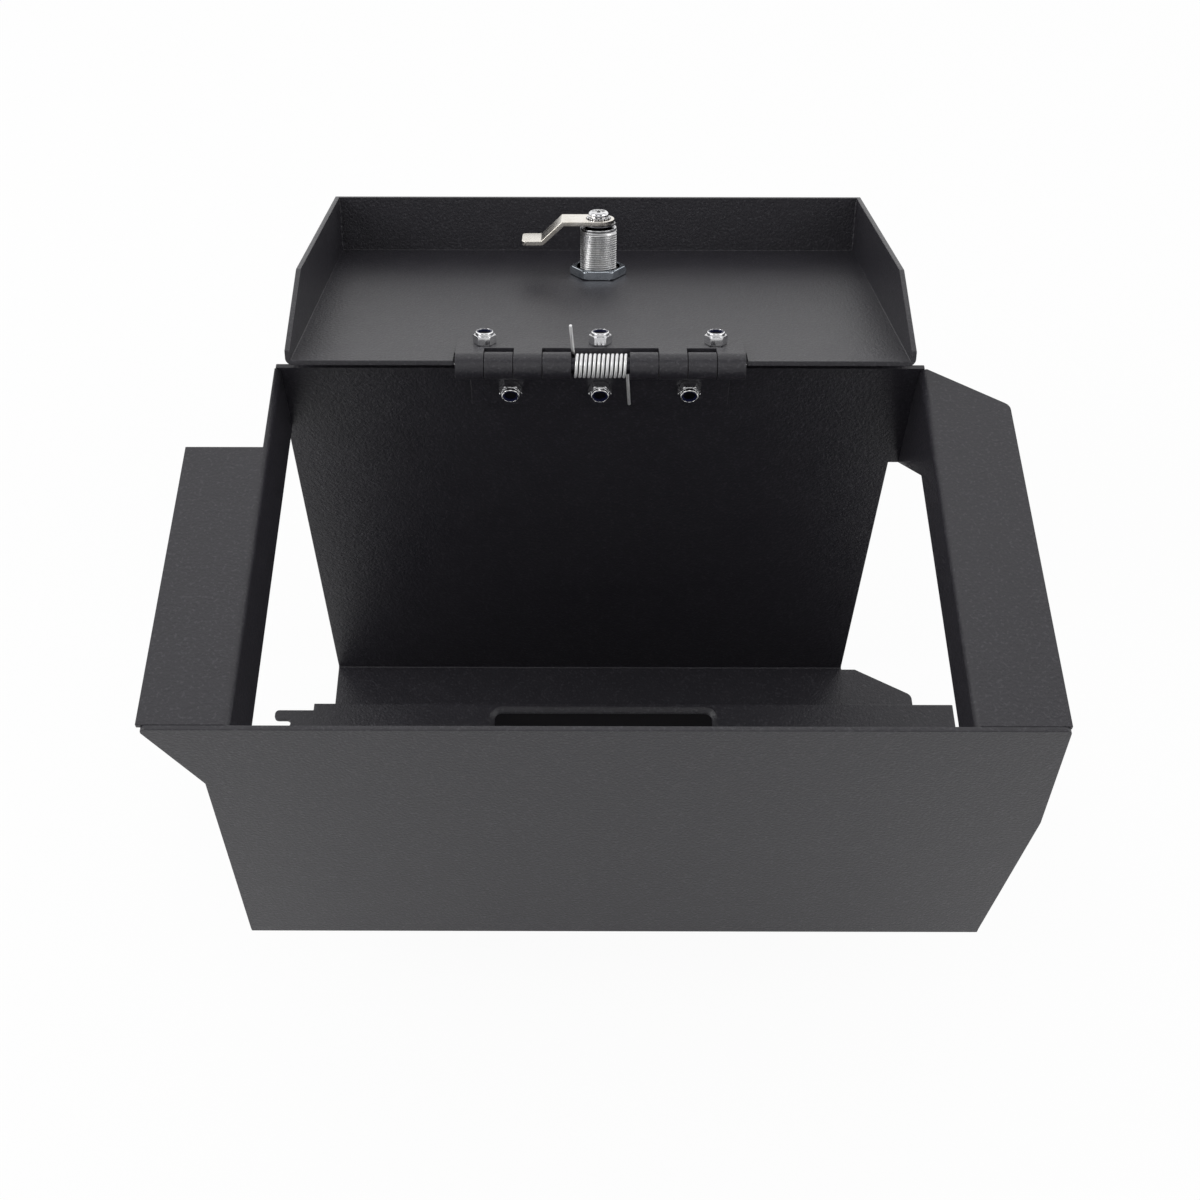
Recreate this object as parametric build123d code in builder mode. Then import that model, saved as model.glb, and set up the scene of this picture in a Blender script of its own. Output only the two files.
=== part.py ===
from build123d import *
import math
import os

os.makedirs("parts", exist_ok=True)

# A console safe: a folded sheet-steel insert with an open top and open sides,
# a lid on a five-finger butt hinge, a pop-up torsion spring and a cam lock.
# Millimetres. X runs along the hinge, +Y points to the back, +Z points up.
# The origin lies on the underside of the standing floor, in the middle of its
# depth and on the hinge's centre plane. The lid is drawn open, as it rests.

# Sheet steel
sheet = 2.0
bend_inside = 0.8
bend_outside = bend_inside + sheet
outer_fold_round = 1.8

# Two places closer than this count as one, when edges and corners are picked
same_place = 0.01

# Rear sheet: panel, standing floor and riser, folded from one blank
safe_height = 217.0
ledge_depth = 56.0
rear_left = 128.2
rear_right_low = 122.2
floor_right = 155.5
floor_corner_depth = 16.0
floor_corner_width = 26.5
floor_corner_round = 4.0
rear_cut_round = 0.5

# Front sheet: face plate and raised floor, folded from one blank
front_height = 162.0
inside_length = 164.6
front_waist_left = 140.7
front_waist_drop = 37.0
front_foot_left = 143.8
front_foot_height = 4.0
face_setback = 0.5
front_shoulder_drop = 65.0
front_shoulder_right = 162.3
front_foot_right = 157.2
front_corner_round = 2.0
raised_floor_right = 160.8
raised_floor_left = 142.0
hook_reach = 145.4
hook_width = 5.0
hook_setback = 3.5
hook_undercut = 4.0
hook_round = 1.9
fold_clearance = 4.0
floor_end_step = 4.0
floor_slot_length = 102.0
floor_slot_width = 18.0
floor_slot_round = 5.5
floor_slot_shift = 2.7

# Side rails: a strip that hangs inside the opening and a flange that lies on it
rail_gap_half = 126.2
left_flange_half = 158.1
right_flange_half = 159.1
left_strip_height = 34.5
right_strip_height = 22.5
gusset_height = 57.0
gusset_depth = 36.0
left_flange_setback = 41.0
flange_relief = 0.4
right_flange_chamfer_width = 30.0
right_flange_chamfer_depth = 19.0
flange_corner_round = 4.0

# Hinge
pin_height_over_rim = 7.0
knuckle_pitch = 11.3
knuckle_gap = 0.3
leaf_sheet = 2.0
pin_radius = 3.25
pin_clearance = 0.05
pin_end_round = 0.8
leaf_clearance = 0.4
body_leaf_width = 25.8
body_leaf_half = 51.4
lid_leaf_width = 16.9
curl_slit = 0.3
body_screw_pitch = 35.5
body_screw_drop = 15.9
lid_screw_pitch = 45.5
lid_screw_reach = 11.5

# Knuckle places, counted in pitches from the middle; the spring has the two
# places that neither leaf takes
lid_knuckles = (-5, -3, 2, 4)
body_knuckles = (-4, -2, 1, 3)
places_each_side = 5

# Lid
lid_drop_angle = 27.4
lid_inside_half = 120.0
lid_inside_length = 154.5
lid_rear_overhang = 3.9
lid_flange_height = 24.8
lid_flange_rear_height = 3.9
lid_flange_kink = 36.0
lid_notch_side_gap = 0.5
lid_notch_depth_gap = 0.6

# Torsion spring
wire = 1.3
spring_turns = 12
spring_on_pin_gap = 0.25
spring_end_gap = 0.25
upper_leg = 17.9
lower_leg = 20.6
leg_on_leaf_gap = 0.2
leg_bend_radius = 2.0

# M5 pan-head screws and lock nuts of the hinge
screw_radius = 2.45
screw_hole_radius = 2.75
pan_head_radius = 4.75
pan_head_height = 3.95
pan_head_round = 2.2
nut_across_flats = 8.0
nut_hex_height = 3.6
nut_height = 5.0
nut_collar_radius = 3.6
nut_bore_radius = 2.5
nut_chamfer = 0.5
nut_chamfer_fall = 0.3
ring_pocket_depth = 1.2
ring_pocket_radius = 3.05
ring_height = 1.05
hinge_screw_length = 8.0
hinge_recess_width = 1.1
hinge_recess_length = 4.6
hinge_recess_depth = 1.4
recess_taper = 20.0

# Cam lock
lock_reach = 115.5
lock_body_radius = 9.5
lock_body_flat = 8.0
lock_body_height = 20.5
lock_hole_gap = 0.15
lock_head_radius = 11.2
lock_head_height = 3.0
lock_head_round = 1.2
lock_nut_flats = 22.0
lock_nut_height = 4.0
lock_nut_gap = 0.1
lock_nut_chamfer = 0.9
lock_nut_chamfer_fall = 0.54
plug_radius = 6.4
plug_gap = 0.05
plug_face_radius = 7.6
plug_face_height = 1.0
boss_radius = 5.4
boss_flat = 4.3
boss_gap = 0.1
boss_end_gap = 0.2
keyway_width = 2.2
keyway_height = 8.2
keyway_depth = 17.5
wafer_count = 5
wafer_thickness = 0.9
wafer_pitch = 2.4
wafer_first = 2.2
wafer_length = 10.6
wafer_width = 7.0
wafer_gap = 0.05
wafer_window_length = 7.0
wafer_window_width = 4.2
stop_washer_thickness = 0.7
stop_washer_radius = 7.9
stop_washer_gap = 0.2
spring_washer_thickness = 0.5
spring_washer_radius = 7.5
spring_washer_bore = 5.6
spring_washer_rise = 1.3
cam_thickness = 2.0
cam_width = 14.0
cam_flat_reach = 16.2
cam_slope_reach = 25.4
cam_reach = 34.0
cam_step = 8.6
cam_bend_radius = 1.0
cam_tip_round = 2.0
toothed_washer_radius = 5.2
toothed_washer_thickness = 0.7
toothed_washer_teeth = 12
toothed_washer_gap = 0.1
tooth_depth = 0.6
cam_screw_radius = 1.95
cam_screw_hole_gap = 0.05
cam_screw_length = 9.0
cam_screw_end_gap = 0.5
cam_screw_head_radius = 4.5
cam_screw_head_height = 2.5
cam_screw_head_round = 1.6
recess_width = 1.4
recess_length = 5.6
recess_depth = 1.7

# Places worked out from the sizes above
panel_inner_y = ledge_depth / 2
panel_outer_y = panel_inner_y + sheet
riser_outer_y = -ledge_depth / 2 - sheet
face_inner_y = panel_inner_y - inside_length
face_outer_y = face_inner_y - sheet
fold_clear_y = face_inner_y + fold_clearance
raised_floor_z = safe_height - front_height
raised_floor_top = raised_floor_z + sheet
rail_outer = rail_gap_half + sheet
bore_radius = pin_radius + pin_clearance
barrel_radius = bore_radius + leaf_sheet
pin_y = panel_inner_y - barrel_radius
pin_z = safe_height + pin_height_over_rim
pin_point = Vector(0, pin_y, pin_z)
barrel_half = places_each_side * knuckle_pitch

drop = math.radians(lid_drop_angle)
lid_along = Vector(0, math.cos(drop), -math.sin(drop))
lid_inward = Vector(0, math.sin(drop), math.cos(drop))
lid_plane = Plane(origin=pin_point, x_dir=(1, 0, 0), z_dir=lid_inward)
lid_side_plane = Plane(origin=pin_point, x_dir=lid_along, z_dir=(1, 0, 0))
lid_inner_face = barrel_radius - leaf_sheet
lid_outer_face = lid_inner_face - sheet
lid_outside_half = lid_inside_half + sheet
lid_outside_length = lid_inside_length + sheet

# Distance from the hinge pin to the panel's top rear corner, seen from the lid:
# the screw heads on the lid's outer face come to rest on that corner
corner_y = panel_outer_y - pin_y
corner_z = safe_height - pin_z
corner_depth = -(corner_y * math.sin(drop) + corner_z * math.cos(drop))
stop_gap = lid_outer_face + corner_depth - pan_head_height
print("open stop: screw heads clear the panel's corner by", round(stop_gap, 2))

# The corner of the lid's front flange swings past the face plate's top edge
swing_radius = math.hypot(lid_outside_length, lid_inner_face + lid_flange_height)
swing_reach = math.sqrt(swing_radius**2 - pin_height_over_rim**2)
print("lid front edge clears the face plate by", round(pin_y - swing_reach - face_inner_y, 2))

# Rear sheet
with BuildPart() as rear_panel:
    with BuildSketch(Plane.YZ.offset(-rear_left)):
        with BuildLine():
            FilletPolyline(
                (panel_inner_y, safe_height),
                (panel_inner_y, sheet),
                (-panel_inner_y, sheet),
                (-panel_inner_y, raised_floor_z),
                radius=bend_inside,
            )
            offset(amount=sheet, side=Side.LEFT)
        make_face()
    extrude(amount=rear_left + floor_right)
    # The panel is narrower below the gusset, and the floor's back corner is cut
    with BuildSketch(Plane.XY.offset(-sheet)):
        with BuildLine():
            corner_front = panel_inner_y - floor_corner_depth
            cut_line = FilletPolyline(
                (rear_right_low, panel_outer_y + sheet),
                (rear_right_low, panel_inner_y - sheet / 2),
                (floor_right - floor_corner_width, panel_inner_y - sheet / 2),
                (floor_right, corner_front),
                (floor_right, corner_front - floor_corner_round * 2),
                radius=(rear_cut_round, rear_cut_round, floor_corner_round),
            )
            Polyline(
                cut_line @ 1,
                (floor_right + sheet, corner_front - floor_corner_round * 2),
                (floor_right + sheet, panel_outer_y + sheet),
                cut_line @ 0,
            )
        make_face()
    extrude(amount=safe_height - gusset_height + sheet, mode=Mode.SUBTRACT)
    with BuildSketch(Plane.XY.offset(safe_height - gusset_height - sheet)):
        with Locations((rail_outer, panel_inner_y)):
            Rectangle(floor_right, ledge_depth, align=(Align.MIN, Align.CENTER))
    extrude(amount=gusset_height + sheet * 2, mode=Mode.SUBTRACT)
    with BuildSketch(Plane.XZ.offset(-panel_outer_y)):
        with Locations(*[
            (side * body_screw_pitch, pin_z - body_screw_drop) for side in (-1, 0, 1)
        ]):
            Circle(screw_hole_radius)
    extrude(amount=sheet, mode=Mode.SUBTRACT)
rear_panel.part.label = "rear_panel"

# Front sheet
with BuildPart() as front_panel:
    with BuildSketch(Plane.XZ.offset(-face_inner_y)) as face:
        with BuildLine():
            Polyline(
                (-left_flange_half + face_setback, safe_height),
                (-front_waist_left, safe_height - front_waist_drop),
                (-front_foot_left, raised_floor_z + front_foot_height),
                (-front_foot_left, raised_floor_z),
                (front_foot_right, raised_floor_z),
                (front_foot_right, raised_floor_z + front_foot_height),
                (front_shoulder_right, safe_height - front_shoulder_drop),
                (right_flange_half - face_setback, safe_height),
                close=True,
            )
        make_face()
        fillet(face.vertices().group_by(Axis.Y)[2:], front_corner_round)
    extrude(amount=sheet)
    with BuildSketch(Plane.XY.offset(raised_floor_z)) as raised_floor:
        hook_back = riser_outer_y + sheet - hook_setback
        hook_front = hook_back - hook_width
        undercut_front = hook_front - hook_undercut
        with BuildLine():
            Polyline(
                (-rear_left, riser_outer_y + sheet),
                (-rear_left, hook_back),
                (-hook_reach, hook_back),
                (-hook_reach, hook_front),
                (-raised_floor_left + hook_undercut, hook_front),
                (-raised_floor_left + hook_undercut, undercut_front),
                (-raised_floor_left, undercut_front),
                (-raised_floor_left, fold_clear_y + floor_end_step),
                (-front_foot_left, fold_clear_y),
                (-front_foot_left, face_outer_y),
                (front_foot_right, face_outer_y),
                (front_foot_right, fold_clear_y),
                (raised_floor_right, fold_clear_y + floor_end_step),
                (raised_floor_right, riser_outer_y + sheet),
                close=True,
            )
        make_face()
        hook_corners = raised_floor.vertices().filter_by(
            lambda v: v.X < -rear_left - hook_undercut and v.Y > undercut_front - same_place
        )
        fillet(hook_corners, hook_round)
        slot_middle = riser_outer_y - floor_slot_width / 2
        with Locations((floor_slot_shift, slot_middle)):
            RectangleRounded(
                floor_slot_length, floor_slot_width, floor_slot_round, mode=Mode.SUBTRACT
            )
    extrude(amount=sheet)
    folds = front_panel.edges().filter_by(Axis.X)
    inner_fold = folds.filter_by(
        lambda e: abs(e.center().Y - face_inner_y) < same_place
        and abs(e.center().Z - raised_floor_top) < same_place
    )
    fillet(inner_fold, bend_inside)
    outer_fold = front_panel.edges().filter_by(Axis.X).filter_by(
        lambda e: abs(e.center().Y - face_outer_y) < same_place
        and abs(e.center().Z - raised_floor_z) < same_place
    )
    fillet(outer_fold, outer_fold_round)
front_panel.part.label = "front_panel"

# Left rail: the flange stops short of the back, the strip runs on to the panel
left_flange_end = panel_inner_y - left_flange_setback
with BuildPart() as left_rail:
    with BuildSketch(Plane.XZ.offset(-panel_inner_y)):
        with BuildLine():
            FilletPolyline(
                (-rail_gap_half, safe_height - left_strip_height),
                (-rail_gap_half, safe_height),
                (-left_flange_half, safe_height),
                radius=bend_outside,
            )
            offset(amount=sheet, side=Side.LEFT)
        make_face()
    extrude(amount=inside_length)
    with BuildSketch(Plane.XY.offset(safe_height - bend_outside * 2)):
        with Locations((-rail_outer - flange_relief, left_flange_end)):
            Rectangle(left_flange_half, ledge_depth, align=(Align.MAX, Align.MIN))
    extrude(amount=bend_outside * 3, mode=Mode.SUBTRACT)
left_rail.part.label = "left_rail"

# Right rail: the flange runs back to a cut corner, the strip ends in a gusset
with BuildPart() as right_rail:
    with BuildSketch(Plane.XZ.offset(-panel_inner_y)):
        with BuildLine():
            FilletPolyline(
                (rail_gap_half, safe_height - gusset_height),
                (rail_gap_half, safe_height),
                (right_flange_half, safe_height),
                radius=bend_outside,
            )
            offset(amount=sheet, side=Side.RIGHT)
        make_face()
    extrude(amount=inside_length)
    strip_bottom = safe_height - gusset_height
    strip_line = safe_height - right_strip_height
    with BuildSketch(Plane.YZ.offset(rail_gap_half - sheet)):
        with BuildLine():
            Polyline(
                (face_inner_y - sheet, strip_line),
                (panel_inner_y - gusset_depth, strip_line),
                (panel_inner_y, strip_bottom),
                (panel_inner_y, strip_bottom - sheet),
                (face_inner_y - sheet, strip_bottom - sheet),
                close=True,
            )
        make_face()
    extrude(amount=sheet * 3, mode=Mode.SUBTRACT)
    chamfer_start = right_flange_half - right_flange_chamfer_width
    with BuildSketch(Plane.XY.offset(safe_height - bend_outside * 2)):
        with BuildLine():
            chamfer_front = panel_inner_y - right_flange_chamfer_depth
            flange_cut = FilletPolyline(
                (chamfer_start, panel_inner_y),
                (right_flange_half, chamfer_front),
                (right_flange_half, chamfer_front - flange_corner_round * 2),
                radius=flange_corner_round,
            )
            Polyline(
                flange_cut @ 1,
                (right_flange_half + sheet, chamfer_front - flange_corner_round * 2),
                (right_flange_half + sheet, panel_inner_y + sheet),
                (chamfer_start, panel_inner_y + sheet),
                flange_cut @ 0,
            )
        make_face()
    extrude(amount=bend_outside * 3, mode=Mode.SUBTRACT)
right_rail.part.label = "right_rail"


def rolled_leaf(along, width, plate_half, knuckles, screw_pitch, screw_reach):
    """A hinge leaf: a plate whose edge is rolled into knuckles round the pin."""
    side = Plane(origin=pin_point, x_dir=along, z_dir=(1, 0, 0))
    plate_foot = barrel_radius - leaf_sheet
    cut_reach = barrel_radius + leaf_clearance
    face = Plane(origin=pin_point, x_dir=(1, 0, 0), z_dir=side.y_dir)
    with BuildPart() as leaf:
        with BuildSketch(side.offset(-plate_half)):
            with Locations((0, plate_foot)):
                Rectangle(width, leaf_sheet, align=(Align.MIN, Align.MIN))
        extrude(amount=plate_half * 2)
        # Finger gaps for the other leaf's knuckles and for the spring
        for place in range(-places_each_side, places_each_side):
            if place in knuckles:
                continue
            with BuildSketch(side.offset(place * knuckle_pitch - knuckle_gap / 2)):
                with Locations((0, plate_foot)):
                    Rectangle(
                        cut_reach * 2, leaf_sheet * 3, align=(Align.CENTER, Align.CENTER)
                    )
            extrude(amount=knuckle_pitch + knuckle_gap, mode=Mode.SUBTRACT)
        for place in knuckles:
            with BuildSketch(side.offset(place * knuckle_pitch + knuckle_gap / 2)):
                Circle(barrel_radius)
                with Locations((0, plate_foot)):
                    Rectangle(cut_reach, leaf_sheet, align=(Align.MIN, Align.MIN))
                Circle(bore_radius, mode=Mode.SUBTRACT)
                with Locations((curl_slit, plate_foot)):
                    Rectangle(
                        barrel_radius, curl_slit, align=(Align.MIN, Align.MAX), mode=Mode.SUBTRACT
                    )
            extrude(amount=knuckle_pitch - knuckle_gap)
        with BuildSketch(face.offset(plate_foot)):
            with Locations(*[
                (x * screw_pitch, screw_reach * (1 if face.y_dir.dot(along) > 0 else -1))
                for x in (-1, 0, 1)
            ]):
                Circle(screw_hole_radius)
        extrude(amount=leaf_sheet, mode=Mode.SUBTRACT)
    return leaf.part


hinge_body_leaf = rolled_leaf(
    Vector(0, 0, -1),
    body_leaf_width,
    body_leaf_half,
    body_knuckles,
    body_screw_pitch,
    body_screw_drop,
)
hinge_body_leaf.label = "hinge_body_leaf"

hinge_lid_leaf = rolled_leaf(
    lid_along,
    lid_leaf_width,
    barrel_half,
    lid_knuckles,
    lid_screw_pitch,
    lid_screw_reach,
)
hinge_lid_leaf.label = "hinge_lid_leaf"

with BuildPart() as hinge_pin:
    with BuildSketch(Plane.YZ.offset(-barrel_half)):
        with Locations((pin_y, pin_z)):
            Circle(pin_radius)
    extrude(amount=barrel_half * 2)
    fillet(hinge_pin.edges().filter_by(GeomType.CIRCLE), pin_end_round)
hinge_pin.part.label = "hinge_pin"

# Torsion spring: one wire, coiled round the pin between the two middle knuckles.
# Each half turn is a pair of arcs that share the helix's directions at its ends.
coil_radius = pin_radius + spring_on_pin_gap + wire / 2
coil_half = knuckle_pitch - spring_end_gap - wire / 2
leg_line = lid_inner_face - wire / 2 - leg_on_leaf_gap
bend_cosine = (leg_line + leg_bend_radius) / (coil_radius + leg_bend_radius)
exit_angle = math.acos(bend_cosine)
coil_sweep = spring_turns * 2 * math.pi + exit_angle
rise_per_radian = coil_half * 2 / coil_sweep


def coil_point(angle):
    """A point of the helix: the wire comes down at the back and goes up in front."""
    return Vector(
        -coil_half + rise_per_radian * angle,
        pin_y + coil_radius * math.cos(angle),
        pin_z - coil_radius * math.sin(angle),
    )


def coil_direction(angle):
    return Vector(
        rise_per_radian,
        -coil_radius * math.sin(angle),
        -coil_radius * math.cos(angle),
    ).normalized()


def biarc_joint(start, start_way, end, end_way):
    """Where two arcs meet that leave start and reach end in the given directions."""
    chord = end - start
    both = chord.dot(start_way + end_way)
    spread = 2 * (1 - start_way.dot(end_way))
    if spread < 1e-9:
        return (start + end) * 0.5, chord.normalized()
    reach = (-both + math.sqrt(both**2 + spread * chord.length**2)) / spread
    joint = (start + end + (start_way - end_way) * reach) * 0.5
    way = (end - end_way * reach) - (start + start_way * reach)
    return joint, way.normalized()


leg_way = coil_direction(0)
bend_way = coil_direction(coil_sweep)
turn = math.radians(bend_way.get_angle(leg_way))
bend_end = coil_point(coil_sweep) + (bend_way + leg_way).normalized() * (
    2 * leg_bend_radius * math.sin(turn / 2)
)
spring_start = coil_point(0) - leg_way * upper_leg
half_turns = spring_turns * 2
stops = [i * math.pi for i in range(half_turns + 1)] + [coil_sweep]

with BuildPart() as torsion_spring:
    with BuildLine() as spring_line:
        Line(spring_start, coil_point(0))
        for first, second in zip(stops[:-1], stops[1:]):
            start, end = coil_point(first), coil_point(second)
            joint, way = biarc_joint(start, coil_direction(first), end, coil_direction(second))
            TangentArc(start, joint, tangent=coil_direction(first))
            TangentArc(joint, end, tangent=way)
        TangentArc(coil_point(coil_sweep), bend_end, tangent=bend_way)
        Line(bend_end, bend_end + leg_way * lower_leg)
    with BuildSketch(Plane(origin=spring_start, z_dir=leg_way)):
        Circle(wire / 2)
    sweep()
torsion_spring.part.label = "torsion_spring"

# Least gap of the wire to itself, on points of the helix one turn apart
samples_per_turn = 24
samples = [
    coil_point(i * 2 * math.pi / samples_per_turn) for i in range(samples_per_turn * spring_turns)
]
least = min(
    (samples[i] - samples[i + ahead]).length
    for ahead in range(samples_per_turn * 3 // 4, samples_per_turn * 5 // 4)
    for i in range(len(samples) - ahead)
)
print("spring wire's least gap to itself:", round(least - wire, 3))


def pan_head_screw(length):
    """A pan-head screw along +Z: the head lies below zero, the shank above it."""
    with BuildPart() as screw:
        Cylinder(pan_head_radius, pan_head_height, align=(Align.CENTER, Align.CENTER, Align.MAX))
        fillet(screw.edges().group_by(Axis.Z)[0], pan_head_round)
        Cylinder(screw_radius, length, align=(Align.CENTER, Align.CENTER, Align.MIN))
        with BuildSketch(Plane.XY.offset(-pan_head_height)):
            Rectangle(hinge_recess_length, hinge_recess_width)
            Rectangle(hinge_recess_width, hinge_recess_length)
        extrude(amount=hinge_recess_depth, taper=recess_taper, mode=Mode.SUBTRACT)
    return screw.part


def lock_nut_m5():
    """A nut with a round collar, standing on zero, its pocket open at the top."""
    with BuildPart() as nut:
        with BuildSketch():
            RegularPolygon(nut_across_flats / 2, 6, major_radius=False)
        extrude(amount=nut_hex_height)
        corner = nut_across_flats / math.sqrt(3)
        with BuildSketch(Plane.XZ):
            with BuildLine():
                Polyline(
                    (0, 0),
                    (corner - nut_chamfer, 0),
                    (corner, nut_chamfer_fall),
                    (corner, nut_hex_height - nut_chamfer_fall),
                    (corner - nut_chamfer, nut_hex_height),
                    (0, nut_hex_height),
                    close=True,
                )
            make_face()
        revolve(axis=Axis.Z, mode=Mode.INTERSECT)
        Cylinder(nut_collar_radius, nut_height, align=(Align.CENTER, Align.CENTER, Align.MIN))
        fillet(nut.edges().group_by(Axis.Z)[-1], nut_chamfer)
        Cylinder(
            nut_bore_radius,
            nut_height,
            align=(Align.CENTER, Align.CENTER, Align.MIN),
            mode=Mode.SUBTRACT,
        )
        with BuildSketch(Plane.XY.offset(nut_height - ring_pocket_depth)):
            Circle(ring_pocket_radius)
        extrude(amount=ring_pocket_depth, mode=Mode.SUBTRACT)
    return nut.part


def grip_ring():
    """The plastic ring that lies in the nut's pocket and grips the screw."""
    with BuildPart() as ring:
        with BuildSketch(Plane.XY.offset(nut_height - ring_pocket_depth)):
            Circle(ring_pocket_radius)
            Circle(nut_bore_radius, mode=Mode.SUBTRACT)
        extrude(amount=ring_height)
    return ring.part


stack = sheet + leaf_sheet
screw_blank = pan_head_screw(hinge_screw_length)
nut_blank = lock_nut_m5()
ring_blank = grip_ring()


def places(outer, reach, pitch):
    """Three places in a row on a plane, for the screws of one leaf."""
    return [outer * Location((side * pitch, reach, 0)) for side in (-1, 0, 1)]


lid_outer_plane = lid_plane.offset(lid_outer_face)
panel_outer_plane = Plane(origin=(0, panel_outer_y, pin_z), x_dir=(1, 0, 0), z_dir=(0, -1, 0))
lid_places = places(lid_outer_plane, lid_screw_reach, lid_screw_pitch)
body_places = places(panel_outer_plane, -body_screw_drop, body_screw_pitch)
lid_nut_places = places(lid_outer_plane.offset(stack), lid_screw_reach, lid_screw_pitch)
body_nut_places = places(panel_outer_plane.offset(stack), -body_screw_drop, body_screw_pitch)

with BuildPart() as lid_hinge_screws:
    with Locations(*lid_places):
        add(screw_blank)
lid_hinge_screws.part.label = "lid_hinge_screws"

with BuildPart() as lid_hinge_nuts:
    with Locations(*lid_nut_places):
        add(nut_blank)
lid_hinge_nuts.part.label = "lid_hinge_nuts"

with BuildPart() as lid_nut_rings:
    with Locations(*lid_nut_places):
        add(ring_blank)
lid_nut_rings.part.label = "lid_nut_rings"

with BuildPart() as body_hinge_screws:
    with Locations(*body_places):
        add(screw_blank)
body_hinge_screws.part.label = "body_hinge_screws"

with BuildPart() as body_hinge_nuts:
    with Locations(*body_nut_places):
        add(nut_blank)
body_hinge_nuts.part.label = "body_hinge_nuts"

with BuildPart() as body_nut_rings:
    with Locations(*body_nut_places):
        add(ring_blank)
body_nut_rings.part.label = "body_nut_rings"

# Lid: a shallow tray with a front flange and two side flanges that run out
# towards the hinge, notched at the back for the hinge's barrel
lock_point = pin_point + lid_along * lock_reach + lid_inward * lid_inner_face
lock_plane = Plane(origin=lock_point, x_dir=(1, 0, 0), z_dir=lid_inward)
lock_section_plane = Plane(origin=lock_point, x_dir=(1, 0, 0), z_dir=lid_along * -1)

with BuildPart() as lid_shell:
    with BuildSketch(lid_side_plane.offset(-lid_outside_half)):
        with BuildLine():
            Polyline(
                (-lid_rear_overhang, lid_outer_face),
                (lid_outside_length, lid_outer_face),
                (lid_outside_length, lid_inner_face + lid_flange_height),
                (lid_flange_kink, lid_inner_face + lid_flange_height),
                (-lid_rear_overhang, lid_inner_face + lid_flange_rear_height),
                close=True,
            )
        make_face()
    extrude(amount=lid_outside_half * 2)
    outside = lid_shell.faces().sort_by(Axis(pin_point, lid_inward))[0]
    bends = outside.edges().filter_by(lambda e: (e.center() - pin_point).dot(lid_along) > 0)
    fillet(bends, bend_outside)
    with BuildSketch(lid_plane.offset(lid_inner_face)) as tray:
        with Locations((0, lid_inside_length)):
            Rectangle(
                lid_inside_half * 2,
                lid_inside_length + lid_rear_overhang * 2,
                align=(Align.CENTER, Align.MAX),
            )
    extrude(amount=lid_flange_height + sheet, mode=Mode.SUBTRACT)
    notch_half = barrel_half + lid_notch_side_gap
    notch_front = barrel_radius + lid_notch_depth_gap
    with BuildSketch(lid_plane):
        with Locations((0, notch_front)):
            Rectangle(notch_half * 2, notch_front * 2, align=(Align.CENTER, Align.MAX))
    extrude(amount=lid_inner_face * 2, mode=Mode.SUBTRACT)
    with BuildSketch(lid_outer_plane):
        with Locations(*[(x * lid_screw_pitch, lid_screw_reach) for x in (-1, 0, 1)]):
            Circle(screw_hole_radius)
    extrude(amount=sheet, mode=Mode.SUBTRACT)
    # The lock's hole has two flats, so that the lock can't turn in it
    with BuildSketch(lid_outer_plane):
        with Locations((0, lock_reach)):
            Circle(lock_body_radius + lock_hole_gap)
            Rectangle(
                (lock_body_flat + lock_hole_gap) * 2,
                lock_body_radius * 2 + sheet,
                mode=Mode.INTERSECT,
            )
    extrude(amount=sheet, mode=Mode.SUBTRACT)
lid_shell.part.label = "lid_shell"

# Cam lock, drawn on the lid's inner face: its local Z points into the safe
with BuildPart() as lock_housing:
    with BuildSketch(lock_plane.offset(-sheet)):
        Circle(lock_body_radius)
        Rectangle(lock_body_flat * 2, lock_body_radius * 2, mode=Mode.INTERSECT)
    extrude(amount=sheet + lock_body_height)
    with BuildSketch(lock_plane.offset(-sheet)):
        Circle(lock_head_radius)
    extrude(amount=-lock_head_height)
    rim = lock_housing.edges().filter_by(GeomType.CIRCLE).sort_by(
        Axis(lock_point, lid_inward)
    )[0]
    fillet(rim, lock_head_round)
    with BuildSketch(lock_plane.offset(lock_body_height)):
        Circle(plug_radius + plug_gap)
    extrude(amount=-(lock_body_height + sheet + lock_head_height), mode=Mode.SUBTRACT)
    with BuildSketch(lock_plane.offset(-sheet - lock_head_height)):
        Circle(plug_face_radius + plug_gap)
    extrude(amount=plug_face_height + plug_gap, mode=Mode.SUBTRACT)
lock_housing.part.label = "lock_housing"

with BuildPart() as lock_nut:
    with BuildSketch(lock_plane):
        RegularPolygon(lock_nut_flats / 2, 6, major_radius=False)
    extrude(amount=lock_nut_height)
    nut_corner = lock_nut_flats / math.sqrt(3)
    with BuildSketch(lock_section_plane):
        with BuildLine():
            Polyline(
                (0, 0),
                (nut_corner - lock_nut_chamfer, 0),
                (nut_corner, lock_nut_chamfer_fall),
                (nut_corner, lock_nut_height - lock_nut_chamfer_fall),
                (nut_corner - lock_nut_chamfer, lock_nut_height),
                (0, lock_nut_height),
                close=True,
            )
        make_face()
    revolve(axis=Axis(lock_point, lid_inward), mode=Mode.INTERSECT)
    with BuildSketch(lock_plane):
        Circle(lock_body_radius + lock_nut_gap)
    extrude(amount=lock_nut_height, mode=Mode.SUBTRACT)
lock_nut.part.label = "lock_nut"

# Plug: turns in the housing, holds the wafers and carries the cam on its boss
washer_stack = stop_washer_thickness + spring_washer_thickness + spring_washer_rise
cam_foot = lock_body_height + stop_washer_gap + washer_stack
cam_top = cam_foot + cam_thickness
boss_top = cam_top - boss_end_gap
plug_face = -sheet - lock_head_height
wafer_slots = [wafer_first + i * wafer_pitch for i in range(wafer_count)]

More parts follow.
